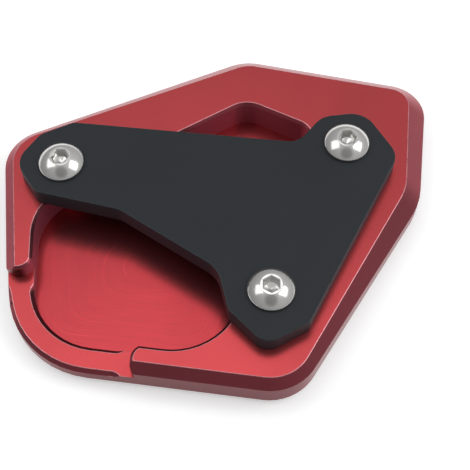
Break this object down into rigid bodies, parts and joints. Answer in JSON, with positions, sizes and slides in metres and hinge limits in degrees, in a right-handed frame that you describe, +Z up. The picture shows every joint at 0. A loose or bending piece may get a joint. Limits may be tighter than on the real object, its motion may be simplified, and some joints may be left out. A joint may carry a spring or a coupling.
{
  "type": "kickstand foot enlarger",
  "caption": "Flat bevelled base plate with a pocket that takes a side stand's foot, and a clamp plate that button head screws hold down over it.",
  "frame": {"origin": "middle of the base plate's outline, on the ground under it", "axes": "+Z up out of the pocket, +X along the base plate's length towards the corner with the wide bevel, +Y towards the back; the pocket's stepped corner faces -X -Y"},
  "size_m": [0.0918, 0.081, 0.0159],
  "materials": {
    "red_anodised": "satin red anodised",
    "black_anodised": "matt black anodised",
    "stainless": "bright turned stainless steel"
  },
  "bodies": {
    "root": {"base_plate": "red_anodised", "clamp_plate": "black_anodised", "screw_left": "stainless", "screw_right": "stainless", "screw_front": "stainless"}
  },
  "joints": []
}
